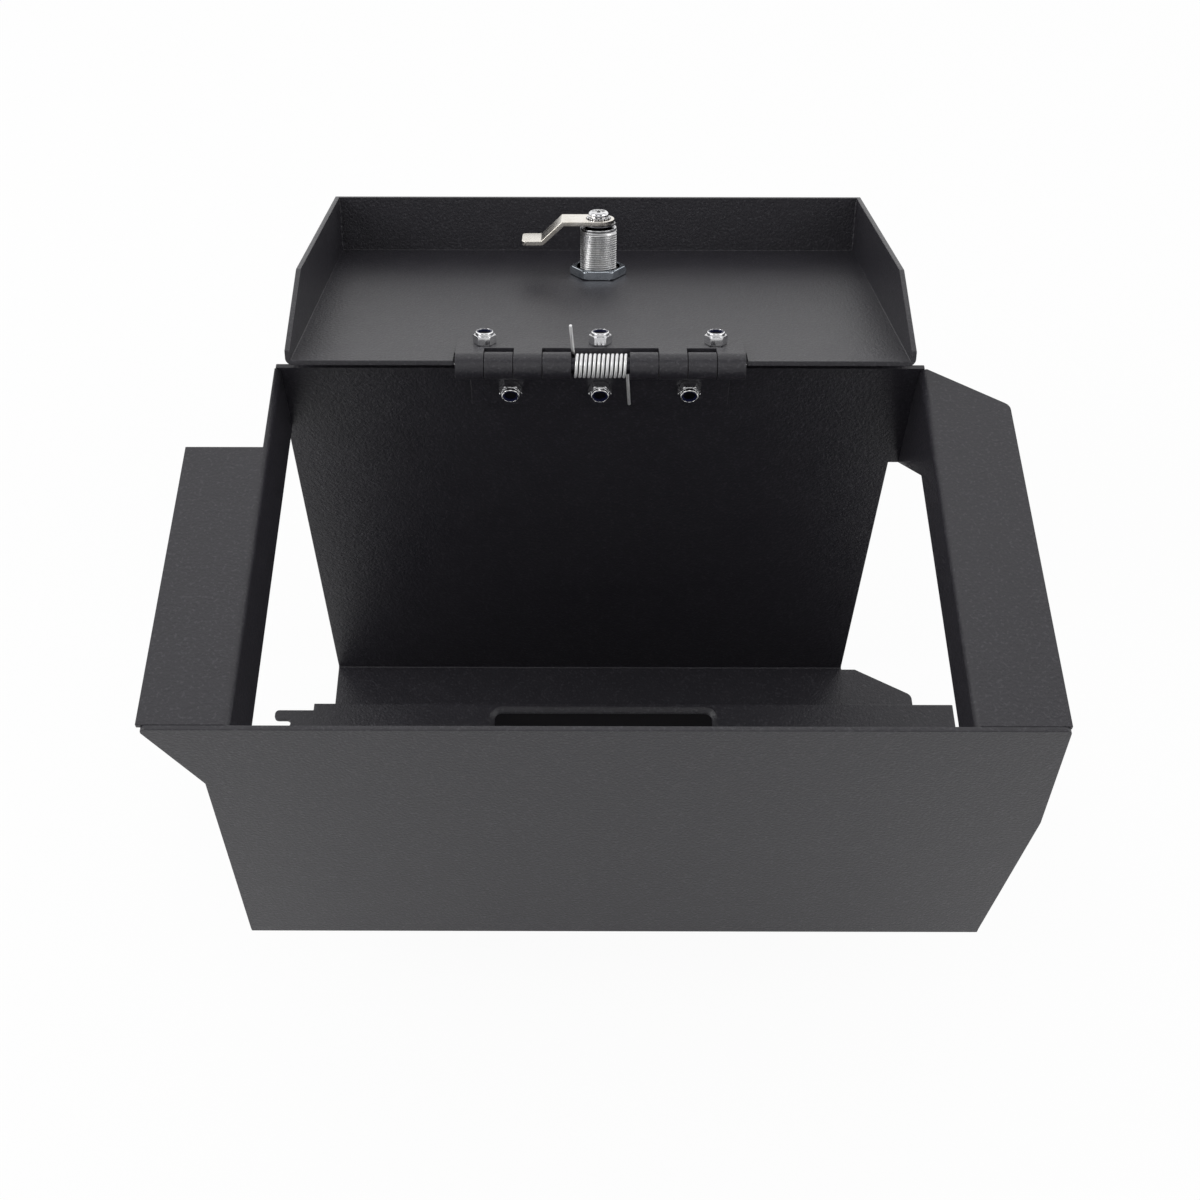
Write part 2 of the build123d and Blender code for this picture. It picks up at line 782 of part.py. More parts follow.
with BuildPart() as lock_plug:
    with BuildSketch(lock_plane.offset(plug_face)):
        Circle(plug_face_radius)
    extrude(amount=plug_face_height)
    with BuildSketch(lock_plane.offset(plug_face)):
        Circle(plug_radius)
    extrude(amount=lock_body_height - plug_face)
    with BuildSketch(lock_plane.offset(lock_body_height)):
        Circle(boss_radius)
        Rectangle(boss_radius * 2, boss_flat * 2, mode=Mode.INTERSECT)
    extrude(amount=boss_top - lock_body_height)
    with BuildSketch(lock_plane.offset(plug_face)):
        Rectangle(keyway_width, keyway_height)
    extrude(amount=keyway_depth, mode=Mode.SUBTRACT)
    for height in wafer_slots:
        with BuildSketch(lock_plane.offset(height - wafer_gap)):
            Rectangle(wafer_width + wafer_gap * 2, plug_radius * 2 + sheet)
        extrude(amount=wafer_thickness + wafer_gap * 2, mode=Mode.SUBTRACT)
    with BuildSketch(lock_plane.offset(boss_top)):
        Circle(cam_screw_radius + cam_screw_hole_gap)
    extrude(amount=-cam_screw_length, mode=Mode.SUBTRACT)
lock_plug.part.label = "lock_plug"

with BuildPart() as lock_wafers:
    for height in wafer_slots:
        with BuildSketch(lock_plane.offset(height)):
            Rectangle(wafer_width, wafer_length)
            Rectangle(wafer_window_width, wafer_window_length, mode=Mode.SUBTRACT)
        extrude(amount=wafer_thickness)
lock_wafers.part.label = "lock_wafers"

# The hole that fits the boss, in the stop washer and in the cam
with BuildSketch() as hole:
    Circle(boss_radius + boss_gap)
    Rectangle((boss_radius + boss_gap) * 2, (boss_flat + boss_gap) * 2, mode=Mode.INTERSECT)
boss_hole = hole.sketch

# Stop washer: a disc that turns with the boss, which its hole fits
stop_washer_foot = lock_body_height + stop_washer_gap
with BuildPart() as lock_stop_washer:
    with BuildSketch(lock_plane.offset(stop_washer_foot)):
        Circle(stop_washer_radius)
        add(boss_hole, mode=Mode.SUBTRACT)
    extrude(amount=stop_washer_thickness)
lock_stop_washer.part.label = "lock_stop_washer"

# Conical spring washer: its bore stands on the stop washer, its rim meets the cam
cone_foot = stop_washer_foot + stop_washer_thickness
with BuildPart() as lock_spring_washer:
    with BuildSketch(lock_section_plane):
        with BuildLine():
            Polyline(
                (spring_washer_bore, cone_foot),
                (spring_washer_bore, cone_foot + spring_washer_thickness),
                (spring_washer_radius, cone_foot + spring_washer_thickness + spring_washer_rise),
                (spring_washer_radius, cone_foot + spring_washer_rise),
                close=True,
            )
        make_face()
    revolve(axis=Axis(lock_point, lid_inward))
lock_spring_washer.part.label = "lock_spring_washer"

# Cam: a flat at the plug, a slope and a lower tip, all from one bent strip
with BuildPart() as lock_cam:
    with BuildSketch(lock_section_plane.offset(-cam_width / 2)):
        with BuildLine():
            FilletPolyline(
                (cam_width / 2, cam_top),
                (-cam_flat_reach, cam_top),
                (-cam_slope_reach, cam_top - cam_step),
                (-cam_reach, cam_top - cam_step),
                radius=cam_bend_radius,
            )
            offset(amount=cam_thickness, side=Side.LEFT)
        make_face()
    extrude(amount=cam_width)
    with BuildSketch(lock_plane) as cam_outline:
        Circle(cam_width / 2)
        Rectangle(cam_reach, cam_width, align=(Align.MAX, Align.CENTER))
        fillet(cam_outline.vertices().group_by(Axis.X)[0], cam_tip_round)
    extrude(amount=cam_top + sheet, mode=Mode.INTERSECT)
    with BuildSketch(lock_plane):
        add(boss_hole)
    extrude(amount=cam_top + sheet, mode=Mode.SUBTRACT)
lock_cam.part.label = "lock_cam"

with BuildPart() as cam_toothed_washer:
    with BuildSketch(lock_plane.offset(cam_top)):
        Circle(toothed_washer_radius)
        Circle(cam_screw_radius + toothed_washer_gap, mode=Mode.SUBTRACT)
        with PolarLocations(toothed_washer_radius, toothed_washer_teeth):
            Rectangle(tooth_depth * 2, tooth_depth, mode=Mode.SUBTRACT)
    extrude(amount=toothed_washer_thickness)
cam_toothed_washer.part.label = "cam_toothed_washer"

with BuildPart() as cam_screw:
    head_foot = cam_top + toothed_washer_thickness
    with BuildSketch(lock_plane.offset(head_foot)):
        Circle(cam_screw_head_radius)
    extrude(amount=cam_screw_head_height)
    fillet(
        cam_screw.edges().sort_by(Axis(lock_point, lid_inward))[-1], cam_screw_head_round
    )
    with BuildSketch(lock_plane.offset(head_foot)):
        Circle(cam_screw_radius)
    extrude(amount=-(cam_screw_length - cam_screw_end_gap))
    with BuildSketch(lock_plane.offset(head_foot + cam_screw_head_height)):
        Rectangle(recess_length, recess_width)
        Rectangle(recess_width, recess_length)
    extrude(amount=-recess_depth, taper=recess_taper, mode=Mode.SUBTRACT)
cam_screw.part.label = "cam_screw"

pieces = [
    rear_panel.part,
    front_panel.part,
    left_rail.part,
    right_rail.part,
    hinge_body_leaf,
    hinge_lid_leaf,
    hinge_pin.part,
    torsion_spring.part,
    body_hinge_screws.part,
    body_hinge_nuts.part,
    body_nut_rings.part,
    lid_shell.part,
    lid_hinge_screws.part,
    lid_hinge_nuts.part,
    lid_nut_rings.part,
    lock_housing.part,
    lock_nut.part,
    lock_plug.part,
    lock_wafers.part,
    lock_stop_washer.part,
    lock_spring_washer.part,
    lock_cam.part,
    cam_toothed_washer.part,
    cam_screw.part,
]
for piece in pieces:
    export_step(piece, "parts/" + piece.label + ".step")
    size = piece.bounding_box().size
    print(piece.label, round(size.X, 1), round(size.Y, 1), round(size.Z, 1))
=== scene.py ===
# %% [markdown]
# A console safe: a box folded from black steel sheet, with a lid that stands
# open on its hinge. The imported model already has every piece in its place, so
# this lesson loads it, keeps the pieces whose shape is right, and rebuilds the
# two whose real form is finer than their solid: the wound spring and the
# threaded lock body. Small things that only the coat makes are added at the
# end: weld beads, runs of powder and the lip of the slot.

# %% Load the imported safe
import math

import bmesh
import bpy
from mathutils import Matrix, Vector


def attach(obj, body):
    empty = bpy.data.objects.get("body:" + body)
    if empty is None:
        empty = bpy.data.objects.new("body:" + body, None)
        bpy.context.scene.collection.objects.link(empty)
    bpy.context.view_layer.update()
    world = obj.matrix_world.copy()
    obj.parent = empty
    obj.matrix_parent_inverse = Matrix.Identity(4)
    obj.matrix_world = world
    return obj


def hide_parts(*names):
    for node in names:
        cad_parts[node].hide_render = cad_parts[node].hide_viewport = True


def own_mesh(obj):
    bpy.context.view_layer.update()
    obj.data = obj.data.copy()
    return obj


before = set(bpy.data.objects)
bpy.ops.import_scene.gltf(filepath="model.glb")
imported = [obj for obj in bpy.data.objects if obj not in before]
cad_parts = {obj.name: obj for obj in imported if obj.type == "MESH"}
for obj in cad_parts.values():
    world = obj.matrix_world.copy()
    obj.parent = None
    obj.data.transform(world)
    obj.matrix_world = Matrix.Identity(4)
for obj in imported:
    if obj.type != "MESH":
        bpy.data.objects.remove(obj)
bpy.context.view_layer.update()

# %% [markdown]
# The camera looks down into the safe from the front, about 54 degrees below
# the horizon. Its focal length is given as the distance to a picture 1200
# pixels wide, so the lens follows from Blender's 36 mm sensor. The picture is
# a crop whose middle lies a little right of the lens axis, which is a shift.

# %% Camera
picture_width = 1200
focal_pixels = 1680
axis_offset_pixels = 20
down_angle = math.radians(54.472)
turn_angle = math.radians(0.142)
camera_place = (-0.0068, -0.43179, 0.70351)
sensor_width = 36

camera_data = bpy.data.cameras.new("camera")
camera_data.sensor_width = sensor_width
camera_data.lens = focal_pixels * sensor_width / picture_width
camera_data.shift_x = axis_offset_pixels / picture_width
camera = bpy.data.objects.new("camera", camera_data)
camera.location = camera_place
camera.rotation_euler = (math.pi / 2 - down_angle, 0, turn_angle)
bpy.context.scene.collection.objects.link(camera)
bpy.context.scene.camera = camera
bpy.context.scene.view_settings.view_transform = "Standard"
print("lens", camera_data.lens, "mm")

# %% [markdown]
# Materials are drawn as node trees, but sums are easier to read as Python.
# A Signal wraps one output socket. Adding or multiplying signals adds Math
# nodes, also when the number comes first, as in 1 - mask. Nodes holds one tree
# and makes every other node: its settings are set first, because they can
# change its sockets, and then each socket gets a value or a link.


# %% Sockets that do sums
class Signal:
    """One output socket. Sums on it add Math nodes to its tree."""

    def __init__(self, nodes, socket):
        self.nodes, self.socket = nodes, socket

    def sum(self, operation, first, second):
        return self.nodes.make("ShaderNodeMath", {"operation": operation}, {0: first, 1: second})

    def __add__(self, other):
        return self.sum("ADD", self, other)

    def __mul__(self, other):
        return self.sum("MULTIPLY", self, other)

    def __sub__(self, other):
        return self.sum("SUBTRACT", self, other)

    def __rsub__(self, other):
        return self.sum("SUBTRACT", other, self)

    __radd__ = __add__
    __rmul__ = __mul__


class Nodes:
    """A node tree, and the one method that adds nodes to it."""

    def __init__(self, tree):
        self.tree = tree

    def make(self, kind, settings=None, sockets=None, output=0):
        node = self.tree.nodes.new(kind)
        for name, value in (settings or {}).items():
            setattr(node, name, value)
        for name, value in (sockets or {}).items():
            if isinstance(value, Signal):
                self.tree.links.new(value.socket, node.inputs[name])
            else:
                node.inputs[name].default_value = value
        return Signal(self, node.outputs[output])

    def link(self, signal, node, name):
        self.tree.links.new(signal.socket, node.inputs[name])


print("operators ready")

# %% [markdown]
# The safe stands on a plain white sweep. The floor is a white diffuse sheet
# that keeps the safe's soft shadow. Camera and clear rays see it mostly as
# plain white light, so the picture has the bright ground of a studio table
# without any more light falling on the black steel. Mirror rays see that light
# only behind the safe and a little to its sides. In front of it they meet the
# shaded sheet. What the real safe mirrored there isn't known: the shares are
# chosen so that the face plate gets about the tone it has in the picture.

# %% Floor
floor_half = 3.0
floor_mesh = bpy.data.meshes.new("floor")
floor_mesh.from_pydata(
    [(x * floor_half, y * floor_half, 0) for x, y in ((-1, -1), (1, -1), (1, 1), (-1, 1))],
    [],
    [(0, 1, 2, 3)],
)
floor = bpy.data.objects.new("floor", floor_mesh)
bpy.context.scene.collection.objects.link(floor)


def ray_kinds(nodes):
    """One for camera and clear rays, and one for mirror rays, as two signals."""
    outputs = nodes.make("ShaderNodeLightPath").socket.node.outputs
    camera_ray = Signal(nodes, outputs["Is Camera Ray"])
    clear_ray = Signal(nodes, outputs["Is Transmission Ray"])
    return camera_ray + clear_ray, Signal(nodes, outputs["Is Glossy Ray"])


seen_share = 0.95
side_share = 0.22
far_share = 0.75
far_depth = 0.6
side_start = 0.002
side_end = 0.04
floor_white = (0.93, 0.93, 0.93, 1)
floor_material = bpy.data.materials.new("white_sweep")
floor_material.use_nodes = True
floor_nodes = Nodes(floor_material.node_tree)
floor_nodes.tree.nodes.clear()
floor_output = floor_nodes.tree.nodes.new("ShaderNodeOutputMaterial")
floor_sheet = floor_nodes.make("ShaderNodeBsdfDiffuse", None, {"Color": floor_white})
floor_light = floor_nodes.make("ShaderNodeEmission", None, {"Strength": 1.0})
floor_seen, floor_mirrored = ray_kinds(floor_nodes)
floor_place = floor_nodes.make("ShaderNodeTexCoord", None, None, "Object")
floor_depth = floor_nodes.make("ShaderNodeSeparateXYZ", None, {0: floor_place}, "Y")
floor_side = floor_nodes.make("ShaderNodeSeparateXYZ", None, {0: floor_place}, "X")
behind = floor_nodes.make(
    "ShaderNodeMapRange", None, {"Value": floor_depth, "From Min": 0.0, "From Max": far_depth}
)
aside = floor_nodes.make(
    "ShaderNodeMapRange",
    None,
    {"Value": floor_side * floor_side, "From Min": side_start, "From Max": side_end},
)
mirror_share = behind * far_share + aside * side_share
floor_mix = floor_nodes.make(
    "ShaderNodeMixShader",
    None,
    {
        0: floor_seen * seen_share + floor_mirrored * mirror_share,
        1: floor_sheet,
        2: floor_light,
    },
)
floor_nodes.link(floor_mix, floor_output, "Surface")
floor_mesh.materials.append(floor_material)
print("floor", 2 * floor_half, "m wide")

# %% [markdown]
# Soft studio light. Black powder coat is mostly what it mirrors, so each face
# takes its tone from the part of the room that it mirrors. A single white room
# would make all of them alike. This room is bright at the horizon, darker
# overhead and a little brighter behind, which keeps the inside of the box dark
# and the flanges pale. Four soft lamps, at the back, left, right and front,
# give the folds and the round metal their highlights. The real studio isn't
# seen, so all these levels are fitted to the tones in the picture.

# %% World and lamps
room_level = 1.0
room_rise = -0.75
room_back = 0.22
world = bpy.data.worlds.new("white_room")
world.use_nodes = True
bpy.context.scene.world = world
world_nodes = Nodes(world.node_tree)
background = world.node_tree.nodes["Background"]
background.inputs["Color"].default_value = (1, 1, 1, 1)
direction = world_nodes.make("ShaderNodeTexCoord", None, None, "Generated")
height = world_nodes.make("ShaderNodeSeparateXYZ", None, {0: direction}, "Z")
depth = world_nodes.make("ShaderNodeSeparateXYZ", None, {0: direction}, "Y")
room = height * room_rise + depth * room_back + room_level
room_seen = ray_kinds(world_nodes)[0]
world_nodes.link(room * (1 - room_seen) + room_seen, background, "Strength")


def lamp(name, place, target, size, power):
    """A soft lamp, size wide and high in metres, that faces a target."""
    data = bpy.data.lights.new(name, "AREA")
    data.shape = "RECTANGLE"
    data.size, data.size_y = size
    data.energy = power
    made = bpy.data.objects.new(name, data)
    made.location = place
    aim = Vector(target) - Vector(place)
    made.rotation_euler = aim.to_track_quat("-Z", "Y").to_euler()
    bpy.context.scene.collection.objects.link(made)
    return made


safe_middle = (0, 0, 0.12)
square_lamp = (0.8, 0.8)
wide_lamp = (1.6, 0.7)
lamps = [
    lamp("lamp_back", (0, 0.8, 1.5), safe_middle, wide_lamp, 3.2),
    lamp("lamp_left", (-1.2, -0.1, 1.1), safe_middle, square_lamp, 7.2),
    lamp("lamp_right", (1.2, -0.1, 1.1), safe_middle, square_lamp, 4.0),
    lamp("lamp_front", (0, -0.9, 1.6), safe_middle, square_lamp, 2.6),
]
print("lamps", [made.name for made in lamps])

# %% [markdown]
# Every finish needs the same few steps: a material with its plain values set,
# a noise in the object's own coordinates, a mask cut from that noise, a mix of
# two colours, and a tilt of the surface. Written once as small functions, they
# let each finish below read like a recipe.

# %% Finish tools
fine_share = 0.55


def finish(name, constants):
    """A material, its nodes and its shader, with the plain values set."""
    material = bpy.data.materials.new(name)
    material.use_nodes = True
    nodes = Nodes(material.node_tree)
    shader = material.node_tree.nodes["Principled BSDF"]
    for socket, value in constants.items():
        shader.inputs[socket].default_value = value
    return material, nodes, shader


def noise(nodes, size, detail, stretch=(1, 1, 1)):
    """Noise whose features are about size metres wide, from 0 to 1."""
    place = nodes.make("ShaderNodeTexCoord", None, None, "Object")
    scaled = nodes.make(
        "ShaderNodeVectorMath", {"operation": "MULTIPLY"}, {0: place, 1: stretch}
    )
    return nodes.make(
        "ShaderNodeTexNoise",
        None,
        {"Vector": scaled, "Scale": 1 / size, "Detail": detail, "Roughness": fine_share},
    )


def mask(nodes, signal, low, high):
    """A smooth step of a signal, 0 below low and 1 above high."""
    return nodes.make(
        "ShaderNodeMapRange",
        {"interpolation_type": "SMOOTHSTEP"},
        {"Value": signal, "From Min": low, "From Max": high},
    )


def two_colours(nodes, share, first, second):
    return nodes.make(
        "ShaderNodeMix", {"data_type": "RGBA"}, {0: share, 6: first, 7: second}, 2
    )


def bumps(nodes, height, depth, strength):
    """A surface tilt from a height that runs from 0 to depth metres."""
    return nodes.make(
        "ShaderNodeBump", None, {"Height": height, "Distance": depth, "Strength": strength}
    )


print("finish tools ready")

# %% [markdown]
# Fine-textured black powder coat covers every sheet. Melted powder leaves small soft hills about
# a millimetre wide, and the coat is a satin black that mirrors its surroundings in a blurred way.
# The pattern could be painted in an image, but noise read from the object's own coordinates has
# no seam and keeps its real size on every piece. A coarse noise varies the gloss a little, as
# handling does, and fine specks are lighter. The slot in the raised floor looks almost black,
# because little light gets into the channel below it. In that channel the coat gives way to a
# dull, dark diffuse surface: painted shade that makes the slot that black. The channel's real
# finish isn't seen.

# %% Powder coat
coat_dark = (0.0166, 0.0155, 0.0205, 1)
coat_pale = (0.0240, 0.0226, 0.0286, 1)
speck_tone = (0.055, 0.053, 0.062, 1)
# Dark diffuse tone of the painted shade in the channel under the raised floor.
channel_shade_tone = (0.02, 0.019, 0.021, 1)
hill_size = 0.0011
hill_height = 0.0004
cloud_size = 0.012
speck_size = 0.0012
floor_edge = (0.0544, 0.0552)
face_edge = (-0.1382, -0.1370)
riser_edge = (-0.0299, -0.0295)


def channel_shade_mask(nodes):
    """Where the shade is painted: one in the channel under the raised floor, and 0 everywhere
    else.
    """
    place = nodes.make("ShaderNodeTexCoord", None, None, "Object")
    height = nodes.make("ShaderNodeSeparateXYZ", None, {0: place}, "Z")
    depth = nodes.make("ShaderNodeSeparateXYZ", None, {0: place}, "Y")
    under_floor = 1 - mask(nodes, height, *floor_edge)
    behind_face = mask(nodes, depth, *face_edge)
    before_riser = 1 - mask(nodes, depth, *riser_edge)
    return under_floor * behind_face * before_riser


def powder_coat():
    """Satin black powder coat with a fine texture, and painted shade in the channel."""
    material, nodes, shader = finish("powder_coat", {"IOR": 1.55, "Metallic": 0.0})
    hills = noise(nodes, hill_size, 3.0)
    cloud = noise(nodes, cloud_size, 4.0)
    specks = mask(nodes, noise(nodes, speck_size, 2.0), 0.54, 0.70)
    tone = two_colours(nodes, cloud, coat_dark, coat_pale)
    nodes.link(two_colours(nodes, specks * 0.6, tone, speck_tone), shader, "Base Color")
    nodes.link(cloud * 0.08 + hills * 0.12 + 0.30, shader, "Roughness")
    nodes.link(bumps(nodes, hills, hill_height, 0.6), shader, "Normal")
    coated = Signal(nodes, shader.outputs["BSDF"])
    # Painted shade: a dull dark diffuse surface takes the coat's place in the channel, where
    # little light gets in.
    painted_channel_shade = nodes.make("ShaderNodeBsdfDiffuse", None, {"Color": channel_shade_tone})
    both = nodes.make(
        "ShaderNodeMixShader", None, {0: channel_shade_mask(nodes), 1: coated, 2: painted_channel_shade}
    )
    nodes.link(both, material.node_tree.nodes["Material Output"], "Surface")
    return material


finishes = {"black_powder_coat": powder_coat()}
print("powder coat ready")

# %% [markdown]
# The bright pieces have thin platings: clear zinc on the hinge nuts, blue zinc on the lock's nut,
# nickel on the lock and its cam. The screws and the pin are black oxide, and the spring is drawn
# wire. Plated steel is a mirror that fine scratches blur, so each plating is a metal with its own
# tint, roughness and tiny marks: even grain on a casting, long marks along a bent strip. Wherever
# a surface looks into a narrow gap, its colour is darkened: painted shade.


# %% Platings, nylon and brass
# Painted shade in narrow gaps: how far a surface looks for a gap, and the dark colour it takes
# there.
gap_reach = 0.0016
gap_shade_tone = (0.035, 0.035, 0.04, 1)
stain_size = 0.006
fine_grain = 0.0005
fine_depth = 0.00001


def plating(name, pale, dark, smooth, rough, grain, depth, stretch=(1, 1, 1), metal=1.0):
    """A plated metal: tint, gloss and a fine grain that all vary a little, and painted shade in
    narrow gaps.
    """
    material, nodes, shader = finish(name, {"Metallic": metal})
    marks = noise(nodes, grain, 3.0, stretch)
    stains = noise(nodes, stain_size, 2.0)
    tint = two_colours(nodes, mask(nodes, stains, 0.4, 0.7), pale, dark)
    # Painted shade: the colour turns dark where the surface looks into a narrow gap.
    openness = nodes.make(
        "ShaderNodeAmbientOcclusion", {"samples": 8}, {"Distance": gap_reach}, "AO"
    )
    open_share = mask(nodes, openness, 0.25, 0.8)
    nodes.link(two_colours(nodes, open_share, gap_shade_tone, tint), shader, "Base Color")
    nodes.link(marks * (rough - smooth) + smooth, shader, "Roughness")
    nodes.link(bumps(nodes, marks, depth, 0.5), shader, "Normal")
    return material


def nylon(name):
    """The moulded ring of a lock nut."""
    material, nodes, shader = finish(name, {"IOR": 1.53})
    cloud = noise(nodes, 0.001, 2.0)
    tint = two_colours(nodes, cloud, (0.004, 0.006, 0.03, 1), (0.009, 0.012, 0.055, 1))
    nodes.link(tint, shader, "Base Color")
    nodes.link(cloud * 0.2 + 0.25, shader, "Roughness")
    nodes.link(bumps(nodes, cloud, 0.00005, 0.4), shader, "Normal")
    return material


finishes["bright_zinc"] = plating(
    name="bright_zinc_plate",
    pale=(0.88, 0.88, 0.89, 1),
    dark=(0.74, 0.74, 0.76, 1),
    smooth=0.06,
    rough=0.18,
    grain=fine_grain,
    depth=fine_depth,
)
finishes["spring_wire"] = plating(
    name="drawn_spring_wire",
    pale=(0.93, 0.93, 0.93, 1),
    dark=(0.84, 0.84, 0.85, 1),
    smooth=0.25,
    rough=0.45,
    grain=0.0004,
    depth=fine_depth,
    metal=0.6,
)
finishes["blue_zinc"] = plating(
    name="blue_zinc_plate",
    pale=(0.62, 0.67, 0.73, 1),
    dark=(0.45, 0.50, 0.56, 1),
    smooth=0.12,
    rough=0.26,
    grain=fine_grain,
    depth=fine_depth,
)
finishes["black_oxide"] = plating(
    name="black_oxide_steel",
    pale=(0.060, 0.058, 0.066, 1),
    dark=(0.035, 0.034, 0.04, 1),
    smooth=0.3,
    rough=0.5,
    grain=fine_grain,
    depth=0.00002,
)
finishes["die_cast_nickel"] = plating(
    name="cast_nickel_plate",
    pale=(0.70, 0.70, 0.70, 1),
    dark=(0.56, 0.56, 0.57, 1),
    smooth=0.2,
    rough=0.45,
    grain=0.0004,
    depth=0.00003,
)
finishes["cam_nickel"] = plating(
    name="strip_nickel_plate",
    pale=(0.93, 0.89, 0.82, 1),
    dark=(0.84, 0.79, 0.71, 1),
    smooth=0.12,
    rough=0.28,
    grain=fine_grain,
    depth=fine_depth,
    stretch=(0.15, 1, 1),
)
finishes["brass_wafer"] = plating(
    name="stamped_brass",
    pale=(0.80, 0.58, 0.26, 1),
    dark=(0.66, 0.46, 0.19, 1),
    smooth=0.2,
    rough=0.4,
    grain=0.0006,
    depth=fine_depth,
)
finishes["blue_nylon"] = nylon("dark_blue_nylon")
print("finishes", sorted(finishes))

# %% [markdown]
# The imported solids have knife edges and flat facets. On the real safe a coat
# of powder rounds each cut edge, and that thin round is what catches the light
# along every fold. Bevels could be modelled by hand, but a stack of modifiers
# does the same for each solid and leaves its mesh alone: join the faces, melt
# flat ones together, round the sharp edges, and shade by the larger faces.

# %% Round the edges and coat the solids
weld_distance = 0.00001
flat_limit = math.radians(0.3)
sharp_limit = math.radians(30)
edge_rounds = {
    "rear_panel": 0.3,
    "front_panel": 0.3,
    "left_rail": 0.3,
    "right_rail": 0.3,
    "lid_shell": 0.3,
    "hinge_body_leaf": 0.15,
    "hinge_lid_leaf": 0.15,
    "lock_cam": 0.25,
    "lock_nut": 0.35,
    "lock_plug": 0.1,
    "lock_stop_washer": 0.12,
    "cam_toothed_washer": 0.06,
    "cam_screw": 0.08,
    "body_hinge_screws": 0.08,
    "lid_hinge_screws": 0.08,
    "body_hinge_nuts": 0.1,
    "lid_hinge_nuts": 0.1,
}


def smooth_group():
    """A modifier's node group that lets every face shade smoothly."""
    group = bpy.data.node_groups.new("shade_smooth", "GeometryNodeTree")
    for direction in ("INPUT", "OUTPUT"):
        group.interface.new_socket(
            "Geometry", in_out=direction, socket_type="NodeSocketGeometry"
        )
    nodes = Nodes(group)
    arriving = nodes.make("NodeGroupInput")
    smooth = nodes.make(
        "GeometryNodeSetMeshNormal",
        {"mode": "SHARPNESS"},
        {
            "Mesh": arriving,
            "Remove Custom": True,
            "Edge Sharpness": False,
            "Face Sharpness": False,
        },
    )
    nodes.link(smooth, group.nodes.new("NodeGroupOutput"), 0)
    return group


shade_smooth = smooth_group()


def ease_edges(node, width):
    """Joins a solid's faces, rounds its sharp edges by width and shades it."""
    weld = node.modifiers.new("join", "WELD")
    weld.merge_threshold = weld_distance
    melt = node.modifiers.new("melt", "DECIMATE")
    melt.decimate_type = "DISSOLVE"
    melt.angle_limit = flat_limit
    shade = node.modifiers.new("shade", "NODES")
    shade.node_group = shade_smooth
    bevel = node.modifiers.new("round", "BEVEL")
    bevel.width = width
    bevel.segments = 2
    bevel.limit_method = "ANGLE"
    bevel.angle_limit = sharp_limit
    bevel.use_clamp_overlap = False
    weigh = node.modifiers.new("weigh", "WEIGHTED_NORMAL")
    weigh.mode = "FACE_AREA"


for name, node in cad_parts.items():
    surface = node.material_slots[0].material.name
    for slot_name, material in finishes.items():
        if surface.startswith(slot_name):
            node.material_slots[0].material = material
    if name in edge_rounds:
        ease_edges(node, edge_rounds[name] / 1000)
print("eased", len(edge_rounds), "solids")

# %% [markdown]
# Pieces made here are meshes of rings. A ring is a row of points that goes
# round an axis or a wire, and joining each ring to the next makes the skin.
# One helper joins the rings, so that each piece only has to say where its
# rings lie.


# %% Rings into meshes
millimetre = 0.001


def add_piece(name, mesh, body, slot, sharp=40):
    """Puts a mesh into the scene on a body, with a finish of the record's."""
    mesh.materials.append(finishes[slot])
    mesh.shade_smooth()
    mesh.set_sharp_from_angle(angle=math.radians(sharp))
    piece = bpy.data.objects.new(name, mesh)
    bpy.context.scene.collection.objects.link(piece)
    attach(piece, body)
    return piece


def skin(name, rings, closed=False):
    """A mesh through rings of points; closed joins the last ring to the first."""
    count = len(rings[0])
    points = [point for ring in rings for point in ring]
    pairs = list(zip(range(len(rings) - 1), range(1, len(rings))))
    if closed:
        pairs.append((len(rings) - 1, 0))
    faces = [
        (a * count + i, a * count + (i + 1) % count, b * count + (i + 1) % count, b * count + i)
        for a, b in pairs
        for i in range(count)
    ]
    if not closed:
        faces.append(tuple(reversed(range(count))))
        faces.append(tuple((len(rings) - 1) * count + i for i in range(count)))
    mesh = bpy.data.meshes.new(name)
    mesh.from_pydata(points, [], faces)
    work = bmesh.new()
    work.from_mesh(mesh)
    bmesh.ops.recalc_face_normals(work, faces=work.faces)
    work.to_mesh(mesh)
    work.free()
    return mesh


# %% [markdown]
# The torsion spring lifts the lid. It is one wire: a straight leg that leans
# on the lid's leaf, twelve turns round the hinge pin, and a second leg that
# leans on the body's leaf. A curve with a round bevel would do, but a tube
# that carries its ring along the wire stays round where the wire turns tight.
# The coil and the lower leg belong to the box. The upper leg is a piece of its
# own, because on the real spring it follows the lid as it closes: here it
# shortens into the coil, so that it never goes through the closing lid.

# %% Spring wire
pin = Vector((0, 22.7, 224.0)) * millimetre
wire_radius = 0.65 * millimetre
coil_radius = 4.15 * millimetre
coil_half = 10.4 * millimetre
coil_turns = 12
leg_bend = 2.0 * millimetre
leg_line = 2.45 * millimetre
upper_leg = 17.9 * millimetre
lower_leg = 20.6 * millimetre
wire_sides = 16
steps_per_turn = 48

exit_angle = math.acos((leg_line + leg_bend) / (coil_radius + leg_bend))
sweep = coil_turns * 2 * math.pi + exit_angle


def coil_point(angle):
    """The wire goes down at the back of the pin and up in front of it."""
    return pin + Vector(
        (
            -coil_half + 2 * coil_half * angle / sweep,
            coil_radius * math.cos(angle),
            -coil_radius * math.sin(angle),
        )
    )


